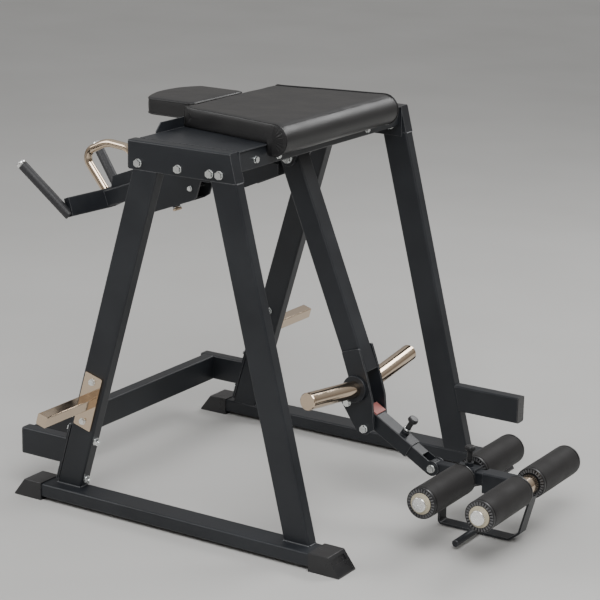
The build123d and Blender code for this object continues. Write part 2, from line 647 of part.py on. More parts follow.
def lower_arm_sleeve():
    """Outer tube of the telescoping lower arm, with the boss of its pull pin."""
    wide, deep = SLEEVE_TUBE
    shape = tube(on_arm(SLEEVE_ENDS[0]), on_arm(SLEEVE_ENDS[1]), wide, deep, corner=4.0)
    shape -= cross_rod(UPPER_BOLT, (-60, 60), M12 + HOLE_CLEARANCE)
    inner = on_arm(ARM_PIN_AT, deep / 2 - WALL)
    outer = on_arm(ARM_PIN_AT, deep / 2 + 12)
    shape += rod((inner[0], 0, inner[1]), (outer[0], 0, outer[1]), 12.0)
    return shape - rod((inner[0] - 5, 0, inner[1] - 5 * math.sqrt(3)), (outer[0], 0, outer[1]), PIN_R + 0.05)


def arm_bolts():
    """The two cross bolts of the side plates, the lower one with the spacer that the sleeve rests on."""
    face = ARM_TUBE / 2 + PLATE
    bolts = []
    for x, z in (UPPER_BOLT, LOWER_BOLT):
        bolts.append(bolt((x, -face, z), (x, face, z), M12))
    return bolts


def arm_spacers():
    """Spacer tubes on the cross bolts."""
    half, wide = ARM_TUBE / 2, SLEEVE_TUBE[0] / 2
    gap = 0.2
    shapes = [cross_rod(LOWER_BOLT, (-half + gap, half - gap), 7.6, M12 + HOLE_CLEARANCE)]
    for low, high in ((wide + gap, half - gap), (-half + gap, -wide - gap)):
        shapes.append(cross_rod(UPPER_BOLT, (low, high), 12.0, M12 + HOLE_CLEARANCE))
    return shapes


def arm_buffer():
    """Rubber pad on the sleeve between the side plates, under the foot of the pendulum tube."""
    wide, deep = SLEEVE_TUBE
    low, high = deep / 2 + 0.1, deep / 2 + 4.5
    outline = [on_arm(-30.0, low), on_arm(6.0, low), on_arm(6.0, high), on_arm(-30.0, high)]
    return prism(outline, (-wide / 2, wide / 2))


def arm_pin():
    """Pull pin on top of the lower arm's sleeve."""
    start = on_arm(ARM_PIN_AT, INNER_TUBE[1] / 2 + 0.4)
    above = on_arm(ARM_PIN_AT, INNER_TUBE[1] / 2 + 10)
    barrel = SLEEVE_TUBE[1] / 2 + 12 - INNER_TUBE[1] / 2 - 0.4
    return pull_pin((start[0], 0, start[1]), (above[0] - start[0], 0, above[1] - start[1]), barrel)


INNER_START = -40.0
HINGE_AT = 224.6


def lower_arm_tube():
    """Inner tube of the lower arm, ending in two ears round the ankle frame's hub."""
    wide, deep = INNER_TUBE
    end = on_arm(HINGE_AT)
    shape = tube(on_arm(INNER_START), end, wide, deep, corner=3.0)
    ear_in = wide / 2 - WALL
    for ear in ((ear_in, wide / 2), (-wide / 2, -ear_in)):
        shape += cross_rod(HINGE, ear, 22.0)
    shape -= cross_rod(HINGE, (-ear_in, ear_in), 26.0)
    corners = [on_arm(HINGE_AT - 45, 0.0), on_arm(HINGE_AT + 40, 0.0), on_arm(HINGE_AT + 40, 40.0),
               on_arm(HINGE_AT - 45, 40.0)]
    shape -= prism(corners, (-ear_in, ear_in))
    for step in range(-1, 4):
        low, high = on_arm(ARM_PIN_AT - step * 30.0, 5.0), on_arm(ARM_PIN_AT - step * 30.0, 30.0)
        shape -= rod((low[0], 0, low[1]), (high[0], 0, high[1]), PIN_R + 0.3)
    return shape - cross_rod(HINGE, (-60, 60), M12 + 0.05)


def ankle_hinge_bolt():
    """Bolt that the ankle frame turns on."""
    face = INNER_TUBE[0] / 2
    return bolt((HINGE[0], -face, HINGE[1]), (HINGE[0], face, HINGE[1]), M12)


# --- ankle frame ----------------------------------------------------------------------------------------------
def ankle_rail():
    """Toothed hub, slide bar and rear box of the ankle frame."""
    half = INNER_TUBE[0] / 2 - WALL - 0.5
    hub = cross_rod(HINGE, (-half, half), HUB_R)
    teeth = 16
    for k in range(teeth):
        turn = 2 * math.pi * k / teeth
        groove = (HINGE[0] + HUB_R * math.cos(turn), HINGE[1] + HUB_R * math.sin(turn))
        hub -= cross_rod(groove, (-half - 1, half + 1), 1.6)
    bar = tube((HINGE[0] + 8, RAIL_Z), (BOX_X[0] + 10, RAIL_Z), 2 * half, RAIL_BAR, wall=0, corner=3.0)
    box = tube((BOX_X[0], 155.0), (BOX_X[1] + 10, 155.0), 50.0, 60.0, corner=5.0)
    box += tube((BOX_X[0], 155.0), (BOX_X[0] + 4, 155.0), 50.0, 60.0, wall=0, corner=5.0)
    box -= cross_rod(REAR_AXLE, (-60, 60), REAR_HUB_R)
    shape = hub + bar + box
    return shape - cross_rod(HINGE, (-60, 60), M12 + 0.05)


def stirrup():
    """Flat-bar foot loop under the ankle frame, with a side peg."""
    wide, thick = STIRRUP
    bends = [(1011.0, RAIL_Z - RAIL_BAR / 2), (1011.0, 6.0), (1232.0, 6.0), (1262.0, 30.0), (1291.0, 141.0)]
    path = FilletPolyline(*[(x, 0, z) for x, z in bends], radius=9.0)
    start = Plane(origin=path @ 0, x_dir=(0, 1, 0), z_dir=path % 0)
    shape = sweep(start * Rectangle(wide, thick), path=path)
    shape -= cross_rod(REAR_AXLE, (-60, 60), REAR_HUB_R)
    peg = rod((1138, -wide / 2 + 1, 19.0), (1138, -160, 19.0), 10.0)
    peg = chamfer(peg.edges().filter_by(GeomType.CIRCLE).sort_by(Axis.Y)[0], 1.5)
    return shape + peg


def front_carriage():
    """Block that slides on the ankle bar and carries the front rollers' stub axles."""
    half = INNER_TUBE[0] / 2 - WALL - 0.5
    x0, x1 = CARRIAGE_X
    shape = tube((x0, RAIL_Z), (x1, RAIL_Z), 50.0, 50.0, wall=0, corner=4.0)
    shape -= tube((x0 - 1, RAIL_Z), (x1 + 1, RAIL_Z), 2 * half + 1, RAIL_BAR + 1, wall=0, corner=3.0)
    top = RAIL_Z + 25
    shape += rod((1091, 0, RAIL_Z + RAIL_BAR / 2 + 3), (1091, 0, top + 13), 12.0)
    return shape - rod((1091, 0, RAIL_Z), (1091, 0, top + 14), PIN_R + 0.05)


def carriage_pin():
    """Pull pin on top of the front carriage."""
    tip = RAIL_Z + RAIL_BAR / 2 + 0.4
    return pull_pin((1091, 0, tip), (0, 0, 1), RAIL_Z + 38 - tip)


def roller_hardware(point):
    """Collar, end washer and button of the right roller at an (x, z) axle point."""
    x, z = point
    washer = cross_rod(point, (ROLLER_OUT + 0.4, ROLLER_OUT + 4), 30.0)
    washer = fillet(washer.edges().filter_by(GeomType.CIRCLE).sort_by(Axis.Y)[-1], 1.5)
    button = cross_rod(point, (ROLLER_OUT + 4, ROLLER_OUT + 15), 21.0)
    button = fillet(button.edges().filter_by(GeomType.CIRCLE).sort_by(Axis.Y)[-1], 3.0)
    button -= cross_rod(point, (ROLLER_OUT + 13, ROLLER_OUT + 16), 2.5)
    return washer, button


def front_axle():
    """Stub axle of the right front roller."""
    return cross_rod(FRONT_AXLE, (25.0, ROLLER_OUT + 0.4), AXLE_R)


def rear_axle():
    """Axle through both rear rollers, with a wide hub between them."""
    reach = ROLLER_OUT + 0.4
    return cross_rod(REAR_AXLE, (-reach, reach), AXLE_R) + cross_rod(REAR_AXLE, (-31.0, 31.0), REAR_HUB_R)


def roller_foam(point):
    """Foam sleeve of the right roller."""
    return cross_rod(point, (ROLLER_IN + RING_WIDE, ROLLER_OUT - RING_WIDE), ROLLER_R, 20.2)


def roller_rings(point):
    """Ribbed end rings and the core tube that the foam sits on."""
    rings = []
    for low, high in ((ROLLER_IN, ROLLER_IN + RING_WIDE), (ROLLER_OUT - RING_WIDE, ROLLER_OUT)):
        ring = cross_rod(point, (low, high), ROLLER_R - 0.5, 20.0)
        outer = ring.edges().filter_by(GeomType.CIRCLE)
        ring = fillet([edge for edge in outer if edge.radius > 40], 2.0)
        rings.append(ring)
    core = cross_rod(point, (ROLLER_IN, ROLLER_OUT), 20.0, AXLE_R + 0.05)
    return rings[0] + rings[1] + core


# --- write ----------------------------------------------------------------------------------------------------
def write_frame():
    write_pair("floor_rail", floor_rail())
    write("foot_caps", *both_sides(foot_cap(CAP_FRONT, 1)), *both_sides(foot_cap(CAP_REAR, -1)))
    write_pair("front_leg", front_leg())
    write_pair("rear_leg", rear_leg())
    write_pair("top_bar", top_bar())
    write_pair("brace_stub", brace_stub())
    write_pair("storage_horn", storage_horn())
    write("front_cross_tube", front_cross_tube())
    write("rest_stub", rest_stub())
    plugs = both_sides(end_plug(BRACE_FRONT, BRACE_Z, -1))
    plugs += both_sides(end_plug(BAR_FRONT, (BAR_LOW + BAR_TOP) / 2, -1))
    plugs.append(end_plug(REST_STUB_END, REST_STUB_Z, 1))
    write("tube_end_plugs", *plugs)
    bolts = [bolt(*ends, M12) for ends in BRACE_BOLTS] + [bolt(*ends, M10) for ends in STORAGE_BOLTS]
    bolts += [bolt(*ends, M12) for ends in BAR_BOLTS] + [bolt(*ends, M10) for ends in BEAM_BOLTS]
    cheek = SLEEVE_IN + CHEEK
    x, z = SLEEVE_BOLT
    sleeve_bolt = bolt((x, -cheek, z), (x, cheek, z), M8)
    write("frame_bolts", sleeve_bolt, *[copy for one in bolts for copy in both_sides(one)])


def write_table():
    write("table_deck", table_deck())
    write("rear_beam", rear_beam())
    write("pivot_lugs", *both_sides(pivot_lug()))
    write("main_pad", main_pad())
    write("chest_pad", chest_pad())
    write("chest_pad_bracket", chest_pad_bracket())


def write_handle():
    write("handle_sleeve", handle_cheeks())
    beam = handle_beam()
    write("handle_beam", beam)
    write("hand_grips", *[grip_bar(side, GRIP_R, 0) for side in (-1, 1)])
    write("loop_handle", d_handle() - beam)
    write("handle_pin", handle_pin())


def write_pendulum():
    write("pivot_shaft", pivot_shaft())
    write("upper_arm", upper_arm())
    write_pair("arm_plate", arm_plate())
    write_pair("weight_horn", weight_horn())
    write("horn_collars", *both_sides(horn_collar()))
    write("lower_arm_sleeve", lower_arm_sleeve())
    write("arm_bolts", *arm_bolts())
    write("arm_spacers", *arm_spacers())
    write("arm_buffer", arm_buffer())
    write("arm_pin", arm_pin())
    write("lower_arm_tube", lower_arm_tube())
    write("ankle_hinge_bolt", ankle_hinge_bolt())


def write_ankle_frame():
    write("ankle_rail", ankle_rail())
    write("stirrup", stirrup())
    write("front_carriage", front_carriage())
    write("carriage_pin", carriage_pin())
    write("front_stub_axles", *both_sides(front_axle()))
    write("rear_axle", rear_axle())
    for place, point in (("front", FRONT_AXLE), ("rear", REAR_AXLE)):
        write_pair(f"{place}_roller_foam", roller_foam(point))
        write_pair(f"{place}_roller_core", roller_rings(point))
        washer, button = roller_hardware(point)
        write(f"{place}_roller_washers", *both_sides(washer))
        write(f"{place}_roller_buttons", *both_sides(button))


os.makedirs("parts", exist_ok=True)
write_frame()
write_table()
write_handle()
write_pendulum()
write_ankle_frame()
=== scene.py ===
"""Looks for a reverse hyperextension machine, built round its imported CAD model.

Metres, in the frame of the CAD model: +X to the rear (the ankle rollers), +Y to the user's right, +Z up.
"""
import json
import math

import bmesh
import bpy
from mathutils import Matrix, Vector, noise

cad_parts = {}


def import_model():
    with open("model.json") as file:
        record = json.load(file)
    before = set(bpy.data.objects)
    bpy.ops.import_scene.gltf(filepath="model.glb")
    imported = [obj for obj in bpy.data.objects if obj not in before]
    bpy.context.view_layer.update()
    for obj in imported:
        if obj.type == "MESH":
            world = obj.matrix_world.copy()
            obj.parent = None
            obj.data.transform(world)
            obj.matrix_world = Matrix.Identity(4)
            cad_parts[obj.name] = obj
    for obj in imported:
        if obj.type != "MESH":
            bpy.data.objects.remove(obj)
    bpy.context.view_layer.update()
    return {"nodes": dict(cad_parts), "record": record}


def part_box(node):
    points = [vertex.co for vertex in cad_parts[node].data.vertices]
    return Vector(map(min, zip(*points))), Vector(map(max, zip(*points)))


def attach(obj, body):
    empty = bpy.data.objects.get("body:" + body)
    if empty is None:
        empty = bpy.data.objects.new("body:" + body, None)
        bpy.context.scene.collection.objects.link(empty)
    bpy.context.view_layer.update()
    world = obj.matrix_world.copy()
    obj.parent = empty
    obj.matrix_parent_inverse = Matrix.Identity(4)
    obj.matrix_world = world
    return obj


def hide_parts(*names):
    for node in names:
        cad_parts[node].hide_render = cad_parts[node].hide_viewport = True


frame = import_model()

MM = 0.001
CAMERA_PLACE = (3.0656, -4.8208, 2.1552)
CAMERA_TURN = (32.0, -15.52, 1.11)  # yaw, pitch and roll, in degrees
CAMERA_LENS = 122.4
SENSOR = 36.0
DECK_LIP = 28 * MM  # how far the deck's front lip stands above the deck
PAD_FRONT_HALF = 237 * MM
ROLL_R = 45 * MM  # radius of the roll at the main pad's rear
CORE_R = 20.4 * MM  # bore of the roller rings
RIBS = 28  # on each ring
GRIP_R = 15 * MM
GRIP_FOOT = (-682 * MM, 135 * MM, 748 * MM)
GRIP_TIP = (-830 * MM, 186 * MM, 903 * MM)
KNOB_HIGH = 14 * MM  # head of a pull pin
KNOB_R = 14 * MM
KNOB_RIBS = 20
LEG_ACROSS = 82.9 * MM  # a leaning leg's length along the floor rail
ARM_PIN_TURN = math.radians(30.0)  # lean of the lower arm's pull pin
MIX_FACTOR, MIX_FIRST, MIX_SECOND, MIX_RESULT = 0, 6, 7, 2  # sockets of a Mix node that mixes colours


# --- materials ------------------------------------------------------------------------------------------
def new_material(name, color, roughness, metallic=0.0, specular=0.5):
    """Material with a Principled shader; returns it with its tree and shader."""
    material = bpy.data.materials.new(name)
    material.use_nodes = True
    tree = material.node_tree
    shader = tree.nodes["Principled BSDF"]
    shader.inputs["Base Color"].default_value = (*color, 1.0)
    shader.inputs["Roughness"].default_value = roughness
    shader.inputs["Metallic"].default_value = metallic
    shader.inputs["Specular IOR Level"].default_value = specular
    return material, tree, shader


def texture(tree, kind, scale, coords=None, **values):
    """Procedural texture on object coordinates, in features per metre."""
    node = tree.nodes.new(kind)
    node.inputs["Scale"].default_value = scale
    for key, value in values.items():
        node.inputs[key].default_value = value
    if coords is None:
        coords = tree.nodes.new("ShaderNodeTexCoord").outputs["Object"]
    tree.links.new(coords, node.inputs["Vector"])
    return node


def stretched(tree, scale):
    """Object coordinates stretched by a factor on each axis."""
    source = tree.nodes.new("ShaderNodeTexCoord")
    mapping = tree.nodes.new("ShaderNodeMapping")
    mapping.inputs["Scale"].default_value = scale
    tree.links.new(source.outputs["Object"], mapping.inputs["Vector"])
    return mapping.outputs["Vector"]


def remap(tree, value, low, high, start=0.3, stop=0.7):
    """A texture's value spread between two numbers."""
    node = tree.nodes.new("ShaderNodeMapRange")
    node.inputs["From Min"].default_value = start
    node.inputs["From Max"].default_value = stop
    node.inputs["To Min"].default_value = low
    node.inputs["To Max"].default_value = high
    tree.links.new(value, node.inputs["Value"])
    return node.outputs["Result"]


def two_colors(tree, value, first, second):
    """Colour that runs from first to second as value goes from 0 to 1."""
    node = tree.nodes.new("ShaderNodeMix")
    node.data_type = "RGBA"
    node.inputs[MIX_FIRST].default_value = (*first, 1.0)
    node.inputs[MIX_SECOND].default_value = (*second, 1.0)
    tree.links.new(value, node.inputs[MIX_FACTOR])
    return node.outputs[MIX_RESULT]


def bumps(tree, shader, layers):
    """Chain of bump nodes, one for each (value, strength, distance) layer."""
    normal = None
    for value, strength, distance in layers:
        node = tree.nodes.new("ShaderNodeBump")
        node.inputs["Strength"].default_value = strength
        node.inputs["Distance"].default_value = distance
        tree.links.new(value, node.inputs["Height"])
        if normal is not None:
            tree.links.new(normal, node.inputs["Normal"])
        normal = node.outputs["Normal"]
    tree.links.new(normal, shader.inputs["Normal"])


def edge_highlight_mask(tree):
    """Mask that is 1 on sharp edges, where a rounded-over normal leaves the face's own; it places the
    painted highlight along edges.
    """
    geometry = tree.nodes.new("ShaderNodeNewGeometry")
    rounded = tree.nodes.new("ShaderNodeBevel")
    rounded.samples = 4
    rounded.inputs["Radius"].default_value = 1.6 * MM
    agree = tree.nodes.new("ShaderNodeVectorMath")
    agree.operation = "DOT_PRODUCT"
    tree.links.new(rounded.outputs["Normal"], agree.inputs[0])
    tree.links.new(geometry.outputs["True Normal"], agree.inputs[1])
    return remap(tree, agree.outputs["Value"], 1.0, 0.0, 0.86, 0.985)


def powder_coat():
    """Satin black powder coat: orange peel, faint dust, and edges lightened by a painted highlight."""
    material, tree, shader = new_material("powder_coat", (0.014, 0.016, 0.019), 0.4, specular=0.42)
    cloud = texture(tree, "ShaderNodeTexNoise", 5.0, Detail=5.0, Roughness=0.6)
    dust = remap(tree, cloud.outputs["Fac"], 0.0, 1.0, 0.35, 0.75)
    base = two_colors(tree, dust, (0.0105, 0.0120, 0.0150), (0.0200, 0.0225, 0.0265))
    # painted highlight: light grey added along sharp edges, standing in for light caught by the rounded
    # edges
    painted_edge_highlight = two_colors(tree, edge_highlight_mask(tree), (0.0, 0.0, 0.0), (0.16, 0.162, 0.165))
    lift = tree.nodes.new("ShaderNodeMix")
    lift.data_type = "RGBA"
    lift.blend_type = "ADD"
    lift.inputs[MIX_FACTOR].default_value = 1.0
    tree.links.new(base, lift.inputs[MIX_FIRST])
    tree.links.new(painted_edge_highlight, lift.inputs[MIX_SECOND])
    tree.links.new(lift.outputs[MIX_RESULT], shader.inputs["Base Color"])
    tree.links.new(remap(tree, cloud.outputs["Fac"], 0.33, 0.47), shader.inputs["Roughness"])
    peel = texture(tree, "ShaderNodeTexNoise", 900.0, Detail=2.0)
    grit = texture(tree, "ShaderNodeTexVoronoi", 1500.0)
    bumps(tree, shader, [(peel.outputs["Fac"], 0.22, 0.0006), (grit.outputs["Distance"], 0.10, 0.0004)])
    return material


def chrome():
    """Bright chrome with faint polishing haze, its colour tinted warm brown as a painted reflection of brown
    surroundings.
    """
    # painted reflection: the warm brown base colour stands in for a brown floor mirrored in the chrome
    material, tree, shader = new_material("chrome", (0.66, 0.53, 0.40), 0.10, metallic=1.0)
    haze = texture(tree, "ShaderNodeTexNoise", 30.0, Detail=6.0)
    tree.links.new(remap(tree, haze.outputs["Fac"], 0.06, 0.17), shader.inputs["Roughness"])
    lines = texture(tree, "ShaderNodeTexNoise", 1.0, stretched(tree, (2500.0, 20.0, 2500.0)), Detail=2.0)
    bumps(tree, shader, [(lines.outputs["Fac"], 0.02, 0.0003)])
    return material


def zinc():
    """Bright zinc plate with a fine spangle."""
    material, tree, shader = new_material("zinc", (0.70, 0.73, 0.72), 0.3, metallic=1.0)
    spangle = texture(tree, "ShaderNodeTexVoronoi", 700.0)
    uneven = remap(tree, spangle.outputs["Distance"], 0.16, 0.32, 0.0, 1.0)
    tree.links.new(uneven, shader.inputs["Roughness"])
    cloud = texture(tree, "ShaderNodeTexNoise", 120.0, Detail=4.0)
    color = two_colors(tree, cloud.outputs["Fac"], (0.72, 0.76, 0.77), (0.93, 0.93, 0.90))
    tree.links.new(color, shader.inputs["Base Color"])
    bumps(tree, shader, [(cloud.outputs["Fac"], 0.12, 0.0004)])
    return material


def leather():
    """Black synthetic leather with pebbled grain, creases and a worn sheen."""
    material, tree, shader = new_material("leather", (0.014, 0.014, 0.015), 0.42, specular=0.36)
    grain = texture(tree, "ShaderNodeTexVoronoi", 620.0)
    fine = texture(tree, "ShaderNodeTexNoise", 1500.0, Detail=3.0)
    patch = texture(tree, "ShaderNodeTexNoise", 7.0, Detail=5.0)
    color = two_colors(tree, patch.outputs["Fac"], (0.009, 0.009, 0.010), (0.022, 0.0215, 0.0215))
    tree.links.new(color, shader.inputs["Base Color"])
    tree.links.new(remap(tree, patch.outputs["Fac"], 0.34, 0.50), shader.inputs["Roughness"])
    shader.inputs["Coat Weight"].default_value = 0.12
    shader.inputs["Coat Roughness"].default_value = 0.35
    bumps(tree, shader, [(grain.outputs["Distance"], 0.28, 0.0005), (fine.outputs["Fac"], 0.12, 0.0003)])
    return material


def foam():
    """Matte closed-cell foam with its moulded skin."""
    material, tree, shader = new_material("foam", (0.012, 0.011, 0.011), 0.62, specular=0.2)
    cells = texture(tree, "ShaderNodeTexVoronoi", 1300.0)
    patch = texture(tree, "ShaderNodeTexNoise", 14.0, Detail=5.0)
    color = two_colors(tree, patch.outputs["Fac"], (0.007, 0.0063, 0.0063), (0.015, 0.0137, 0.0135))
    tree.links.new(color, shader.inputs["Base Color"])
    tree.links.new(remap(tree, patch.outputs["Fac"], 0.52, 0.68), shader.inputs["Roughness"])
    shader.inputs["Sheen Weight"].default_value = 0.08
    bumps(tree, shader, [(cells.outputs["Distance"], 0.25, 0.0005), (patch.outputs["Fac"], 0.15, 0.002)])
    return material


def moulded(name, dark, light, roughness):
    """Moulded plastic or rubber with a spark-eroded texture."""
    material, tree, shader = new_material(name, dark, roughness)
    patch = texture(tree, "ShaderNodeTexNoise", 25.0, Detail=4.0)
    tree.links.new(two_colors(tree, patch.outputs["Fac"], dark, light), shader.inputs["Base Color"])
    uneven = remap(tree, patch.outputs["Fac"], roughness - 0.06, roughness + 0.08)
    tree.links.new(uneven, shader.inputs["Roughness"])
    spark = texture(tree, "ShaderNodeTexNoise", 1800.0, Detail=2.0)
    bumps(tree, shader, [(spark.outputs["Fac"], 0.18, 0.0003)])
    return material


def turned():
    """Turned aluminium, with rings from the lathe tool."""
    material, tree, shader = new_material("turned", (0.93, 0.93, 0.92), 0.22, metallic=1.0)
    lines = texture(tree, "ShaderNodeTexNoise", 1.0, stretched(tree, (500.0, 40.0, 500.0)), Detail=3.0)
    tree.links.new(remap(tree, lines.outputs["Fac"], 0.16, 0.34), shader.inputs["Roughness"])
    bumps(tree, shader, [(lines.outputs["Fac"], 0.05, 0.0003)])
    return material


def pale_floor():
    """Plain pale floor."""
    material, tree, shader = new_material("pale_floor", (0.52, 0.515, 0.50), 0.6, specular=0.3)
    patch = texture(tree, "ShaderNodeTexNoise", 1.2, Detail=6.0)
    tree.links.new(two_colors(tree, patch.outputs["Fac"], (0.47, 0.465, 0.45), (0.56, 0.555, 0.54)),
                   shader.inputs["Base Color"])
    return material


MATERIALS = {
    "powder_black": powder_coat(),
    "chrome": chrome(),
    "zinc": zinc(),
    "pad_leather": leather(),
    "roller_foam": foam(),
    "black_plastic": moulded("black_plastic", (0.011, 0.011, 0.012), (0.022, 0.022, 0.023), 0.30),
    "cream_plastic": moulded("cream_plastic", (0.42, 0.37, 0.27), (0.52, 0.47, 0.35), 0.38),
    "button_metal": turned(),
    "grip_rubber": moulded("grip_rubber", (0.018, 0.018, 0.02), (0.032, 0.032, 0.035), 0.5),
    "buffer_rubber": moulded("buffer_rubber", (0.30, 0.10, 0.09), (0.40, 0.16, 0.14), 0.6),
}
# ribs of the roller end rings: the rings' black plastic made lighter grey, a painted highlight of light
# catching the ribs
RIB_GLINT_PLASTIC = moulded("rib_glint_plastic", (0.08, 0.08, 0.083), (0.14, 0.14, 0.144), 0.22)
THREAD = moulded("thread", (0.03, 0.03, 0.03), (0.06, 0.06, 0.06), 0.6)


def dress_frame():
    """Give every CAD node the material of its slot."""
    slots = {part["node"]: part["material_slot"] for part in frame["record"]["subparts"]}
    for name, obj in frame["nodes"].items():
        material = MATERIALS[slots[name]]
        if not obj.material_slots:
            obj.data.materials.append(material)
        for slot in obj.material_slots:
            slot.material = material


# --- mesh helpers ---------------------------------------------------------------------------------------
def piece(name, verts, faces, body, slot, replaces=(), material=None, smooth=True, pad=None):
    """New mesh object that rides on a body and takes its finish from a slot."""
    mesh = bpy.data.meshes.new(name)
    mesh.from_pydata([tuple(v) for v in verts], [], faces)
    mesh.validate()
    mesh.update()
    obj = bpy.data.objects.new(name, mesh)
    bpy.context.scene.collection.objects.link(obj)
    mesh.materials.append(material or MATERIALS[slot])
    mesh.polygons.foreach_set("use_smooth", [smooth] * len(mesh.polygons))
    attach(obj, body)
    if replaces:
        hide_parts(*replaces)
    return obj


def loft(rings, wrap=False):
    """Faces between rings of equally many points; wrap joins the last ring to the first."""
    count = len(rings[0])
    verts = [v for ring in rings for v in ring]
    faces = []
    rows = len(rings) if wrap else len(rings) - 1
    for i in range(rows):
        j = (i + 1) % len(rings)
        for k in range(count):
            m = (k + 1) % count
            faces.append((i * count + k, i * count + m, j * count + m, j * count + k))
    return verts, faces


def lathe(profile, center, segments=96, wobble=None):
    """Closed (y, r) profile turned about an axis across the machine through an (x, z) centre."""
    rings = []
    for y, r in profile:
        ring = []
        for k in range(segments):
            turn = 2 * math.pi * k / segments
            radius = r + (wobble(y, turn) if wobble else 0.0)
            ring.append((center[0] + radius * math.cos(turn), y, center[1] + radius * math.sin(turn)))
        rings.append(ring)
    return loft(rings, wrap=True)


def spoke(side, up, index, count):
    """One of a number of evenly spaced unit vectors round an axis."""
    turn = 2 * math.pi * index / count
    return math.cos(turn) * side + math.sin(turn) * up


def tube_path(points, radius, sides=8, ripple=0.0, pitch=4 * MM):
    """Closed tube along points, with an optional ripple along its length like a weld bead."""
    rings = []
    run = 0.0
    for i, point in enumerate(points):
        here = Vector(point)
        ahead = Vector(points[min(i + 1, len(points) - 1)]) - Vector(points[max(i - 1, 0)])
        if i:
            run += (here - Vector(points[i - 1])).length
        side = ahead.orthogonal() if abs(ahead.normalized().z) > 0.95 else ahead.cross(Vector((0, 0, 1)))
        side.normalize()
        up = side.cross(ahead).normalized()
        swell = radius * (1 + ripple * math.sin(2 * math.pi * run / pitch))
        if i in (0, len(points) - 1):
            swell *= 0.4
        rings.append([here + swell * spoke(side, up, k, sides) for k in range(sides)])
    verts, faces = loft(rings)
    last = (len(rings) - 1) * sides
    faces.append(tuple(reversed(range(sides))))
    faces.append(tuple(last + k for k in range(sides)))
    return verts, faces


def turned_along(start, direction, profile, segments):
    """Closed turned shape along a direction, from (distance, radius) pairs."""
    side = direction.cross(Vector((0, 0, 1))).normalized()
    up = side.cross(direction)
    rings = []
    for distance, radius in profile:
        middle = start + direction * distance
        rings.append([middle + radius * spoke(side, up, k, segments) for k in range(segments)])
    verts, faces = loft(rings)
    faces = [tuple(reversed(face)) for face in faces]
    faces.append(tuple(range(segments)))
    faces.append(tuple(reversed([(len(rings) - 1) * segments + k for k in range(segments)])))
    return verts, faces


def join(*parts):
    """Several (verts, faces) shapes as one."""
    verts, faces = [], []
    for part_verts, part_faces in parts:
        offset = len(verts)
        verts.extend(part_verts)
        faces.extend(tuple(i + offset for i in face) for face in part_faces)
    return verts, faces


def line(start, end, count):
    """Evenly spaced points from start to end."""
    start, end = Vector(start), Vector(end)
    return [start.lerp(end, i / (count - 1)) for i in range(count)]


def arc(center, radius, start, stop, count):
    """Points on an arc, as pairs, angles in degrees."""
    turns = [math.radians(start + (stop - start) * i / (count - 1)) for i in range(count)]
    return [(center[0] + radius * math.cos(t), center[1] + radius * math.sin(t)) for t in turns]


def surface_z(obj, x, y):
    """Height of a piece's top surface over a point."""
    hit, place, _, _ = obj.ray_cast(Vector((x, y, 5.0)), Vector((0, 0, -1)))
    return place.z if hit else 0.0


def close_holes(obj):
    """Fill each open rim of a piece with one face."""
    mesh = bmesh.new()
    mesh.from_mesh(obj.data)
    bmesh.ops.holes_fill(mesh, edges=[edge for edge in mesh.edges if edge.is_boundary], sides=0)
    bmesh.ops.recalc_face_normals(mesh, faces=mesh.faces)
    for face in mesh.faces:
        face.smooth = True
    mesh.to_mesh(obj.data)
    mesh.free()


def subdivide(obj, levels):
    """Catmull-Clark subdivision, applied."""
    modifier = obj.modifiers.new("subdivide", "SUBSURF")
    modifier.levels = modifier.render_levels = levels
    apply_modifiers(obj)


def apply_modifiers(obj):
    """Replace a piece's mesh by what its modifiers make of it."""
    graph = bpy.context.evaluated_depsgraph_get()
    mesh = bpy.data.meshes.new_from_object(obj.evaluated_get(graph))
    old = obj.data
    obj.modifiers.clear()
    obj.data = mesh
    mesh.polygons.foreach_set("use_smooth", [True] * len(mesh.polygons))
    bpy.data.meshes.remove(old)


def clamp(value, low=0.0, high=1.0):
    """A value kept between two bounds."""
    return min(max(value, low), high)


def crease(point, scale, amount):
    """Small smooth unevenness at a point."""
    return amount * noise.noise(Vector(point) * scale)


# --- main pad -------------------------------------------------------------------------------------------
PAD_LOW, PAD_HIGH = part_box("main_pad")
PAD_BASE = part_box("table_deck")[1].z - DECK_LIP + 0.3 * MM  # height of the slab's flat base
ROLL = (PAD_HIGH.x - ROLL_R, PAD_LOW.z + ROLL_R)  # x and z of the roll's middle
BASE_REAR = ROLL[0] - 17.4 * MM  # x where the flat base gives way to the roll
SPINE_Z = (PAD_BASE + PAD_HIGH.z) / 2  # mid height of the slab

# part of the way from an end panel's rim to its spine, and millimetres proud there
END_PANEL = ((0.0, -1.2), (0.03, 0.2), (0.08, 1.4), (0.16, 2.6), (0.30, 3.8), (0.48, 4.6), (0.68, 5.0),
             (0.86, 5.2), (0.97, 5.2))


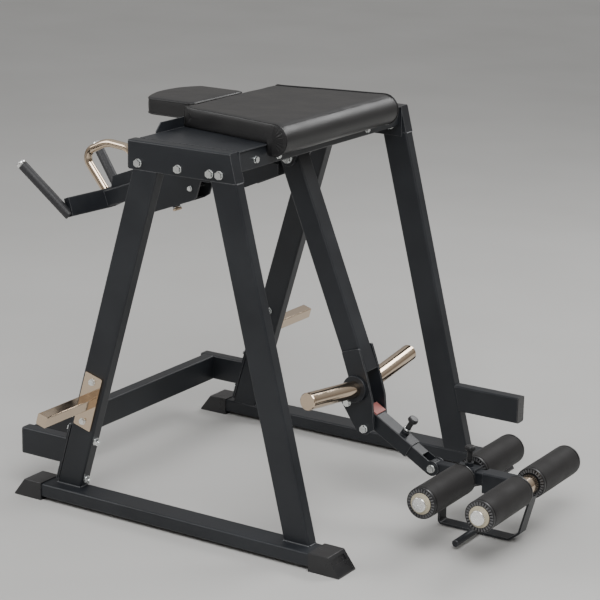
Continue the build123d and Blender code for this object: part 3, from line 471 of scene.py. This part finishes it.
def pad_profile():
    """Outline (x, z) of the main pad's side: flat base, roll at the rear, crowned top and rounded nose."""
    nose, heel = 11 * MM, 5 * MM
    front, top = PAD_LOW.x, PAD_HIGH.z
    outline = [(front + heel + (BASE_REAR - front - heel) * i / 24, PAD_BASE) for i in range(25)]
    drop = math.degrees(math.asin((ROLL[0] - BASE_REAR) / ROLL_R))
    foot = ROLL[1] - ROLL_R * math.cos(math.radians(drop))
    outline += [(BASE_REAR, PAD_BASE - (PAD_BASE - foot) * i / 6) for i in range(1, 6)]
    outline += arc(ROLL, ROLL_R, -90 - drop, 90, 44)
    for i in range(1, 33):
        part = i / 33
        crown = (1.6 * MM * math.sin(math.pi * part) - 1.4 * MM) * part * (1 - part) * 4
        outline.append((ROLL[0] + (front + nose - ROLL[0]) * part, top - 0.6 * MM + crown))
    outline += arc((front + nose, top - nose), nose, 90, 180, 8)
    fall = top - nose - PAD_BASE - 6 * MM
    outline += [(front - 0.5 * MM * math.sin(math.pi * i / 8), top - nose - fall * i / 8)
                for i in range(1, 9)]
    outline += arc((front + heel, PAD_BASE + heel), heel, 190, 262, 4)
    return outline


def half_width(x):
    """Half the main pad's width at its end seams, which grows from the nose to the roll."""
    part = clamp((x - PAD_LOW.x) / (ROLL[0] - PAD_LOW.x))
    return PAD_FRONT_HALF + (PAD_HIGH.y - PAD_FRONT_HALF) * part - 5.5 * MM


def spine(x):
    """Middle of an end panel: along the slab's mid height, then down to the roll's middle."""
    ahead = clamp((x - ROLL[0] + 60 * MM) / (60 * MM))
    return (clamp(x, PAD_LOW.x + 28 * MM, ROLL[0]), SPINE_Z + (ROLL[1] - SPINE_Z) * ahead ** 2)


def end_panel(outline, side, part, proud):
    """Ring of an end panel, part of the way from its rim to its spine, with pleats round the roll."""
    ring = []
    for x, z in outline:
        sx, sz = spine(x)
        turn = math.atan2(z - ROLL[1], x - ROLL[0])
        rolled = clamp((x - ROLL[0] + 40 * MM) / (30 * MM))
        depth = rolled * 1.1 * MM * math.sin(math.pi * min(part * 1.4, 1)) ** 2
        y = side * (half_width(x) + proud + depth * math.sin(turn * 26 + 2 * math.sin(turn * 5)))
        ring.append((x + (sx - x) * part, y, z + (sz - z) * part))
    return ring


def main_pad():
    """Table cushion with a creased top and crowned end panels."""
    outline = pad_profile()
    rings = [end_panel(outline, -1, part, proud * MM) for part, proud in reversed(END_PANEL)]
    stations = 72
    for i in range(stations + 1):
        across = -1 + 2 * i / stations
        edge = max(0.0, abs(across) - 0.93) / 0.07
        ring = []
        for x, z in outline:
            y = across * (half_width(x) - 2.5 * MM)
            sag = 3.2 * MM * edge ** 2 * (1 if z > ROLL[1] else -0.4)
            soft = crease((x, y, z), 16.0, 1.2 * MM) + crease((x, y, z), 45.0, 0.35 * MM)
            lift = (soft - 1.0 * MM) if z > PAD_HIGH.z - 8 * MM else 0.0
            ring.append((x, y, z - sag + lift))
        rings.append(ring)
    rings += [end_panel(outline, 1, part, proud * MM) for part, proud in END_PANEL]
    verts, faces = loft(rings)
    pad = piece("main_pad_cover", verts, faces, "frame", "pad_leather", replaces=("main_pad",), pad=0.9)
    subdivide(pad, 1)
    close_holes(pad)
    pad_trim(outline)
    pad_stitches(pad)


def pad_trim(outline):
    """Welts round the main pad's end panels, and the seams inside and under them."""
    welts, seams = [], []
    upper = [p for p in outline[28:] if p[1] > PAD_BASE + 4 * MM or p[0] > BASE_REAR - 1 * MM]
    for side in (-1, 1):
        path = [(x, side * (half_width(x) - 0.6 * MM), z - (1.2 * MM if z > ROLL[1] else 0))
                for x, z in upper]
        welts.append(tube_path(path, 2.0 * MM, 8))
        second = []
        for x, z in upper:
            if z < ROLL[1] - 20 * MM or x < PAD_LOW.x + 6 * MM:
                continue
            sx, sz = spine(x)
            second.append((x + (sx - x) * 0.2, side * (half_width(x) + 2.4 * MM), z + (sz - z) * 0.2))
        seams.append(tube_path(second, 0.8 * MM, 6))
        bottom = line((PAD_LOW.x + 6 * MM, side * (half_width(PAD_LOW.x) + 0.4 * MM), PAD_BASE + 2.4 * MM),
                      (BASE_REAR, side * (half_width(BASE_REAR) + 0.4 * MM), PAD_BASE + 2.4 * MM), 40)
        seams.append(tube_path(bottom, 1.4 * MM, 8))
        joint_x = ROLL[0] - 30 * MM
        top_z = PAD_HIGH.z - 9 * MM
        upright = [(joint_x, side * (half_width(joint_x) + (1.2 + 3.6 * math.sin(math.pi * i / 24)) * MM),
                    top_z - (top_z - PAD_BASE - 4 * MM) * i / 24) for i in range(25)]
        seams.append(tube_path(upright, 0.9 * MM, 6))
    piece("main_pad_welts", *join(*welts), "frame", "pad_leather")
    piece("main_pad_seams", *join(*seams), "frame", "pad_leather")


def pad_stitches(pad):
    """Stitches along both sides of the main pad's top, as far as the roll."""
    stitches = []
    for side in (-1, 1):
        for i in range(70):
            x0 = PAD_LOW.x + 14 * MM + i * 4.6 * MM
            if x0 + 3 * MM > ROLL[0]:
                break
            y = side * (half_width(x0) - 7 * MM)
            z = surface_z(pad, x0, y) + 0.15 * MM
            run = [(x0, y, z), (x0 + 1.6 * MM, y, z + 0.25 * MM), (x0 + 3.2 * MM, y, z)]
            stitches.append(tube_path(run, 0.35 * MM, 5))
    piece("main_pad_stitches", *join(*stitches), "frame", "pad_leather", material=THREAD)


# --- chest pad ------------------------------------------------------------------------------------------
def chest_outline(low, high):
    """Plan outline (x, y) of the chest pad: bowed front, straight sides, rounded corners."""
    corner = 16 * MM
    half = high.y
    front_x = low.x + 38 * MM
    front, rear = front_x + corner, high.x - corner
    points = arc((rear, half - corner), corner, 0, 90, 8)
    points += arc((front, half - corner), corner, 90, 160, 8)
    for i in range(1, 40):
        part = -1 + 2 * i / 40
        points.append((low.x + (front_x - low.x) * part * part, -part * (half - 8 * MM)))
    points += arc((front, corner - half), corner, 200, 270, 8)
    points += arc((rear, corner - half), corner, 270, 360, 8)
    points += [(high.x, -half + corner + (2 * half - 2 * corner) * i / 30) for i in range(1, 30)]
    return points


# scale of the chest pad's outline at parts of its height, from the middle of its base to that of its top
CHEST_LEVELS = ((0.02, 0.0), (0.4, 0.0), (0.8, 0.0), (0.94, 0.0), (0.985, 0.03), (1.0, 0.12), (1.004, 0.35),
                (1.006, 0.55), (1.004, 0.72), (0.998, 0.84), (0.985, 0.91), (0.955, 0.955), (0.88, 0.975),
                (0.72, 0.99), (0.5, 1.0), (0.28, 1.0), (0.1, 1.0), (0.02, 1.0))


def chest_pad():
    """Chest cushion with a crowned top, boxed sides and two welts."""
    low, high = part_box("chest_pad")
    outline = chest_outline(low, high)
    middle = ((low.x + high.x) / 2 + 6 * MM, 0.0)
    tall = high.z - low.z
    rings = []
    for scale, height in CHEST_LEVELS:
        ring = []
        for x, y in outline:
            px = middle[0] + (x - middle[0]) * scale
            py = middle[1] + (y - middle[1]) * scale
            pz = low.z + tall * height
            if height > 0.95:
                pz += crease((px, py, 0), 22.0, 0.9 * MM) - 1.0 * MM
            elif height > 0.1:
                turn = math.atan2(py, px - middle[0])
                wave = 0.5 * MM * math.sin(130 * turn) * math.sin(math.pi * height)
                px += wave * (px - middle[0]) / 0.1
                py += wave * py / 0.1
            ring.append((px, py, pz))
        rings.append(ring)
    verts, faces = loft(rings)
    count = len(outline)
    faces.append(tuple(reversed(range(count))))
    faces.append(tuple((len(rings) - 1) * count + k for k in range(count)))
    pad = piece("chest_pad_cover", verts, faces, "frame", "pad_leather", replaces=("chest_pad",), pad=0.9)
    subdivide(pad, 1)
    welts = []
    for height, grow_x, grow_y in ((0.86, 0.2 * MM, 0.4 * MM), (0.10, 0.2 * MM, 0.2 * MM)):
        loop = []
        for x, y in outline + outline[:1]:
            out = Vector((x - middle[0], y - middle[1], 0)).normalized()
            loop.append((x + out.x * grow_x, y + out.y * grow_y, low.z + tall * height))
        welts.append(tube_path(loop, 1.5 * MM, 8))
    piece("chest_pad_welts", *join(*welts), "frame", "pad_leather")


# --- rollers --------------------------------------------------------------------------------------------
def roller(place, side, seed):
    """Foam sleeve, ribbed end rings and core of one roller; seed sets its skin's unevenness."""
    body = f"{side}_{place}_roller"
    low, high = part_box(f"{body}_foam")
    center = ((low.x + high.x) / 2, (low.z + high.z) / 2)
    radius = (high.z - low.z) / 2

    def wobble(y, turn):
        place_on_skin = Vector((math.cos(turn) * 2 + seed, y * 18, math.sin(turn) * 2))
        return 0.5 * MM * noise.noise(place_on_skin) - 0.4 * MM

    edge = 5 * MM
    profile = arc((low.y + edge, radius - edge), edge, 180, 90, 6)
    profile += [(low.y + edge + (high.y - low.y - 2 * edge) * i / 40, radius) for i in range(1, 40)]
    profile += arc((high.y - edge, radius - edge), edge, 90, 0, 6)
    profile += [(high.y, CORE_R - 0.1 * MM), (low.y, CORE_R - 0.1 * MM)]
    verts, faces = lathe(profile, center, 112, wobble)
    piece(f"{body}_sleeve", verts, faces, body, "roller_foam", replaces=(f"{body}_foam",), pad=1.0)

    first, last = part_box(f"{body}_core")
    shapes, ribs = [], []
    rim, root = radius - 0.8 * MM, 31.0 * MM
    for out, y_out, y_in in ((-1, first.y, low.y), (1, last.y, high.y)):
        shapes.append(lathe(ring_profile(out, y_out, y_in, rim, root), center, 112))
        back, face = y_out - out * 3.8 * MM, y_out + out * 0.3 * MM
        ribs += [ring_rib(center, back, face, k, root, rim - 3.2 * MM) for k in range(RIBS)]
    start, end = first.y + 0.2 * MM, last.y - 0.2 * MM
    inner, outer = CORE_R - 7.7 * MM, CORE_R - 0.2 * MM
    shapes.append(lathe([(start, inner), (end, inner), (end, outer), (start, outer)], center, 64))
    piece(f"{body}_rings", *join(*shapes), body, "black_plastic", replaces=(f"{body}_core",), smooth=False)
    # the ribs take the lighter grey plastic, a painted highlight
    piece(f"{body}_ribs", *join(*ribs), body, "black_plastic", material=RIB_GLINT_PLASTIC, smooth=False)


def ring_profile(out, y_out, y_in, rim, root):
    """Section (y, r) of an end ring: a flat hub, a groove for the ribs and a rounded rim."""
    depths = [(2.5, CORE_R), (2.5, root), (3.6, root + 1 * MM), (3.6, rim - 4 * MM), (0.2, rim - 3.4 * MM),
              (0.0, rim - 2 * MM), (0.8, rim - 0.4 * MM), (2.5, rim)]
    profile = [(y_in, CORE_R)] + [(y_out - out * depth * MM, r) for depth, r in depths] + [(y_in, rim)]
    return profile if out > 0 else profile[::-1]


def ring_rib(center, y_back, y_face, index, inner, outer):
    """One radial rib of an end ring."""
    turn = 2 * math.pi * index / RIBS
    width = 0.55 * math.pi / RIBS
    verts = []
    for y, spread in ((y_back, 1.15), (y_face, 0.8)):
        for r, sign in ((inner, -1), (inner, 1), (outer, 1), (outer, -1)):
            a = turn + sign * width * spread
            verts.append((center[0] + r * math.cos(a), y, center[1] + r * math.sin(a)))
    faces = [(0, 3, 2, 1), (4, 5, 6, 7), (0, 1, 5, 4), (1, 2, 6, 5), (2, 3, 7, 6), (3, 0, 4, 7)]
    if y_face > y_back:
        faces = [tuple(reversed(face)) for face in faces]
    return verts, faces


# --- pull pins ------------------------------------------------------------------------------------------
def knob_details(name, body, foot, out):
    """Ribs round the head of a pull pin that starts at foot, and a bright ring under its neck."""
    side = out.cross(Vector((0, 1, 0))).normalized()
    across = out.cross(side)
    start, end = foot + out * 3.2 * MM, foot + out * 10.8 * MM
    ribs = []
    for k in range(KNOB_RIBS):
        arm = spoke(side, across, k, KNOB_RIBS) * (KNOB_R - 0.1 * MM)
        ribs.append(tube_path(line(start + arm, end + arm, 5), 1.1 * MM, 6))
    piece(f"{name}_ribs", *join(*ribs), body, "black_plastic")
    section = ((-29.0, 8.2), (-29.0, 11.2), (-28.2, 11.8), (-24.4, 11.8), (-23.6, 11.2), (-23.6, 8.2))
    ring = [(distance * MM, radius * MM) for distance, radius in section]
    piece(f"{name}_collar", *turned_along(foot, out, ring, 40), body, "zinc")


def pull_pins():
    """Ribs and collars on the two long pull pins."""
    for name, body, lean in (("carriage_pin", "carriage_pull_pin", 0.0),
                             ("arm_pin", "arm_pull_pin", ARM_PIN_TURN)):
        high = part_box(name)[1]
        out = Vector((math.sin(lean), 0, math.cos(lean)))
        top = Vector((high.x - KNOB_R * out.z, 0, high.z - KNOB_R * out.x))
        knob_details(name, body, top - out * KNOB_HIGH, out)


# --- hand grips -----------------------------------------------------------------------------------------
def hand_grips():
    """Rubber sleeves with turned end rings on the two grip bars."""
    foot, reach = Vector(GRIP_FOOT), Vector(GRIP_TIP) - Vector(GRIP_FOOT)
    length = reach.length
    profile = [(0.0, GRIP_R - 3 * MM), (0.4 * MM, GRIP_R - 1 * MM), (2 * MM, GRIP_R)]
    profile += [(t * MM, GRIP_R + 0.25 * MM * math.sin(t * 0.5)) for t in range(6, int(length / MM) - 14, 4)]
    profile += [(length - 13 * MM, GRIP_R), (length - 12.4 * MM, GRIP_R - 1 * MM)]
    section = ((12.6, 2.0), (12.0, 0.2), (2.0, 0.2), (0.6, 1.2), (0.0, 3.5), (1.5, 5.0))
    cap = [(length - back * MM, GRIP_R - under * MM) for back, under in section]
    sleeves, rings = [], []
    for side in (-1, 1):
        mirror = Vector((1, side, 1))
        sleeves.append(turned_along(foot * mirror, reach.normalized() * mirror, profile, 48))
        rings.append(turned_along(foot * mirror, reach.normalized() * mirror, cap, 48))
    piece("grip_sleeves", *join(*sleeves), "handle_carriage", "grip_rubber", replaces=("hand_grips",))
    piece("grip_rings", *join(*rings), "handle_carriage", "button_metal")


# --- welds ----------------------------------------------------------------------------------------------
def weld(name, body, runs):
    """Rippled weld beads along straight runs, on one body."""
    shapes = []
    for start, end in runs:
        count = max(int((Vector(end) - Vector(start)).length / (1.3 * MM)), 4)
        shapes.append(tube_path(line(start, end, count), 2.3 * MM, 7, 0.16, 4.5 * MM))
    piece(name, *join(*shapes), body, "powder_black")


def frame_welds():
    """Beads where legs meet rails and top bars."""
    runs = []
    lap, rise = 4 * MM, 0.5 * MM
    for side in ("left", "right"):
        rail_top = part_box(f"{side}_floor_rail")[1].z + rise
        bar_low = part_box(f"{side}_top_bar")[0].z - rise
        for place in ("front", "rear"):
            low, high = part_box(f"{side}_{place}_leg")
            outer = max(low.y, high.y, key=abs)
            foot_x, head_x = low.x, high.x - LEG_ACROSS
            if place == "rear":
                foot_x, head_x = head_x, foot_x
            runs.append(((foot_x, outer, rail_top), (foot_x + LEG_ACROSS, outer, rail_top)))
            for x, z in ((foot_x, rail_top), (foot_x + LEG_ACROSS, rail_top), (head_x, bar_low),
                         (head_x + LEG_ACROSS, bar_low)):
                runs.append(((x, low.y + lap, z), (x, high.y - lap, z)))
    weld("frame_welds", "frame", runs)


# --- stage ----------------------------------------------------------------------------------------------
def stage():
    """Wide flat floor, seen from every side."""
    reach = 45.0
    mesh = bpy.data.meshes.new("floor")
    corners = [(-reach, -reach, 0), (reach, -reach, 0), (reach, reach, 0), (-reach, reach, 0)]
    mesh.from_pydata(corners, [], [(0, 1, 2, 3)])
    floor = bpy.data.objects.new("floor", mesh)
    bpy.context.scene.collection.objects.link(floor)
    mesh.materials.append(pale_floor())


def light(name, place, target, size, power, color=(1, 1, 1)):
    """Soft rectangular light aimed at a point."""
    data = bpy.data.lights.new(name, "AREA")
    data.shape = "RECTANGLE"
    data.size, data.size_y = size
    data.energy = power
    data.color = color
    obj = bpy.data.objects.new(name, data)
    obj.location = place
    obj.rotation_euler = (Vector(target) - Vector(place)).to_track_quat("-Z", "Y").to_euler()
    bpy.context.scene.collection.objects.link(obj)


def camera():
    """Camera above and behind the machine's left rear corner."""
    yaw, pitch, roll = [math.radians(turn) for turn in CAMERA_TURN]
    forward = Vector((-math.sin(yaw) * math.cos(pitch), math.cos(yaw) * math.cos(pitch), math.sin(pitch)))
    level = Vector((math.cos(yaw), math.sin(yaw), 0))
    upright = level.cross(forward)
    right = math.cos(roll) * level + math.sin(roll) * upright
    up = -math.sin(roll) * level + math.cos(roll) * upright
    data = bpy.data.cameras.new("camera")
    data.sensor_width = SENSOR
    data.lens = CAMERA_LENS
    data.clip_end = 60.0
    obj = bpy.data.objects.new("camera", data)
    bpy.context.scene.collection.objects.link(obj)
    rows = [(right[i], up[i], -forward[i], CAMERA_PLACE[i]) for i in range(3)]
    obj.matrix_world = Matrix(rows + [(0, 0, 0, 1)])
    bpy.context.scene.camera = obj


def world():
    """Surroundings that are bright overhead and darker and warmer towards the horizon."""
    surroundings = bpy.data.worlds.new("surroundings")
    bpy.context.scene.world = surroundings
    surroundings.use_nodes = True
    tree = surroundings.node_tree
    source = tree.nodes.new("ShaderNodeTexCoord")
    split = tree.nodes.new("ShaderNodeSeparateXYZ")
    tree.links.new(source.outputs["Generated"], split.inputs["Vector"])
    height = remap(tree, split.outputs["Z"], 0.0, 1.0, 0.0, 0.75)
    color = two_colors(tree, height, (0.40, 0.365, 0.33), (0.98, 0.99, 1.0))
    tree.links.new(color, tree.nodes["Background"].inputs["Color"])
    tree.nodes["Background"].inputs["Strength"].default_value = 0.6


dress_frame()
main_pad()
chest_pad()
roller("front", "left", 1)
roller("front", "right", 2)
roller("rear", "left", 3)
roller("rear", "right", 4)
hand_grips()
pull_pins()
frame_welds()
camera()
stage()
world()
light("key", (2.2, -2.6, 4.2), (0.2, 0, 0.5), (3.0, 3.0), 200)
light("fill", (-3.2, -2.4, 3.0), (0, 0, 0.6), (3.0, 2.0), 70)
light("rear", (1.5, 3.4, 3.6), (0.1, 0, 0.5), (3.0, 1.6), 110)
